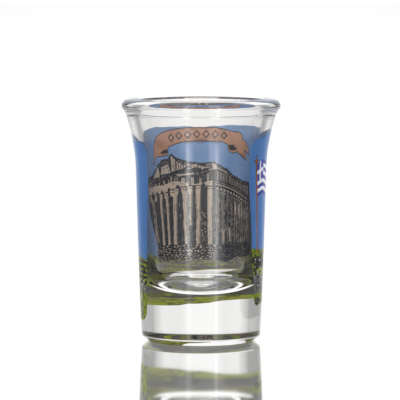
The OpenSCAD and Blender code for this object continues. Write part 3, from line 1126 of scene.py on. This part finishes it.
def make_floor():
    """A pale, mirror-like sheet, just under the foot of the glass."""
    mesh = bpy.data.meshes.new("floor")
    low, high = -FLOOR_HALF, FLOOR_HALF
    corners = [(low, low, 0), (high, low, 0), (high, high, 0), (low, high, 0)]
    mesh.from_pydata(corners, [], [(0, 1, 2, 3)])
    floor = bpy.data.objects.new("floor", mesh)
    floor.location.z = -FLOOR_DROP
    bpy.context.scene.collection.objects.link(floor)
    material, tree, shader = new_material("floor")
    cloud = noise_texture(tree, scale=2, detail=1)
    colour = mottle(tree, cloud, (0.95, 0.95, 0.95), (0.97, 0.97, 0.97), 0.3, 0.7)
    tree.links.new(colour, shader.inputs["Base Color"])
    shader.inputs["Roughness"].default_value = 0.05
    shader.inputs["Metallic"].default_value = 1.0
    shader.inputs["Emission Color"].default_value = (1, 1, 1, 1)
    shader.inputs["Emission Strength"].default_value = FLOOR_GLOW
    floor.data.materials.append(material)


def make_backlight():
    """Soft light on the far side of the glass. It shines through the ink, and doesn't show."""
    data = bpy.data.lights.new("backlight", "AREA")
    data.shape = "RECTANGLE"
    data.size, data.size_y = BACKLIGHT_SIZE
    data.energy = BACKLIGHT_POWER
    light = bpy.data.objects.new("backlight", data)
    light.location = BACKLIGHT_AT
    aim = BACKLIGHT_AIM - BACKLIGHT_AT
    light.rotation_euler = aim.to_track_quat("-Z", "Z").to_euler()
    light.visible_camera = False
    light.visible_glossy = False
    light.visible_transmission = False
    bpy.context.scene.collection.objects.link(light)


def make_world():
    """A light tent: light and shade round the horizon, under a bright dome."""
    world = bpy.data.worlds.new("studio")
    bpy.context.scene.world = world
    world.use_nodes = True
    tree = world.node_tree
    nodes, links = tree.nodes, tree.links
    background = nodes["Background"]
    coords = nodes.new("ShaderNodeTexCoord")
    parts = nodes.new("ShaderNodeSeparateXYZ")
    links.new(coords.outputs["Generated"], parts.inputs[0])

    def math_node(operation, a, b=None):
        node = nodes.new("ShaderNodeMath")
        node.operation = operation
        for socket, value in zip(node.inputs, (a, b)):
            if isinstance(value, (int, float)):
                socket.default_value = value
            elif value is not None:
                links.new(value, socket)
        return node.outputs[0]

    # the ring's azimuth as a share of a turn, 0.5 behind the glass
    angle = math_node("ARCTAN2", parts.outputs["X"], parts.outputs["Y"])
    share = math_node("ADD", math_node("DIVIDE", angle, 2 * math.pi), 0.5)
    ring = nodes.new("ShaderNodeValToRGB")
    elements = ring.color_ramp.elements
    elements[0].position, elements[1].position = RING[0][0] / 360, RING[-1][0] / 360
    for degrees, _ in RING[1:-1]:
        elements.new(degrees / 360)
    for element, (_, value) in zip(elements, RING):
        element.color = (value, value, value, 1)
    links.new(share, ring.inputs["Fac"])
    lift = nodes.new("ShaderNodeMapRange")
    lift.inputs["From Min"].default_value, lift.inputs["From Max"].default_value = LIFT
    links.new(parts.outputs["Z"], lift.inputs["Value"])
    over = nodes.new("ShaderNodeMix")
    over.data_type = "RGBA"
    links.new(lift.outputs["Result"], over.inputs["Factor"])
    links.new(ring.outputs["Color"], over.inputs["A"])
    dome = nodes.new("ShaderNodeValToRGB")
    for element, (position, value) in zip(dome.color_ramp.elements, DOME):
        element.position = position
        element.color = (value, value, value, 1)
    links.new(parts.outputs["Z"], dome.inputs["Fac"])
    links.new(dome.outputs["Color"], over.inputs["B"])
    links.new(over.outputs["Result"], background.inputs["Color"])

    seen = nodes.new("ShaderNodeBackground")
    seen.inputs["Color"].default_value = (1, 1, 1, 1)
    seen.inputs["Strength"].default_value = BACKDROP
    path = nodes.new("ShaderNodeLightPath")
    mix = nodes.new("ShaderNodeMixShader")
    links.new(path.outputs["Is Camera Ray"], mix.inputs["Fac"])
    links.new(background.outputs[0], mix.inputs[1])
    links.new(seen.outputs[0], mix.inputs[2])
    links.new(mix.outputs[0], nodes["World Output"].inputs["Surface"])


def make_camera():
    data = bpy.data.cameras.new("camera")
    data.lens = CAMERA_LENS
    data.sensor_width = CAMERA_SENSOR
    data.clip_start = CAMERA_CLIP
    camera = bpy.data.objects.new("camera", data)
    camera.location = CAMERA_AT
    camera.rotation_euler = (math.radians(90 - CAMERA_DOWN), 0, 0)
    bpy.context.scene.collection.objects.link(camera)
    bpy.context.scene.camera = camera


def make_stage():
    make_floor()
    make_world()
    make_camera()
    make_backlight()
    bpy.context.scene.view_settings.view_transform = "Standard"


make_glass()
make_films()
make_stage()

bpy.context.view_layer.update()
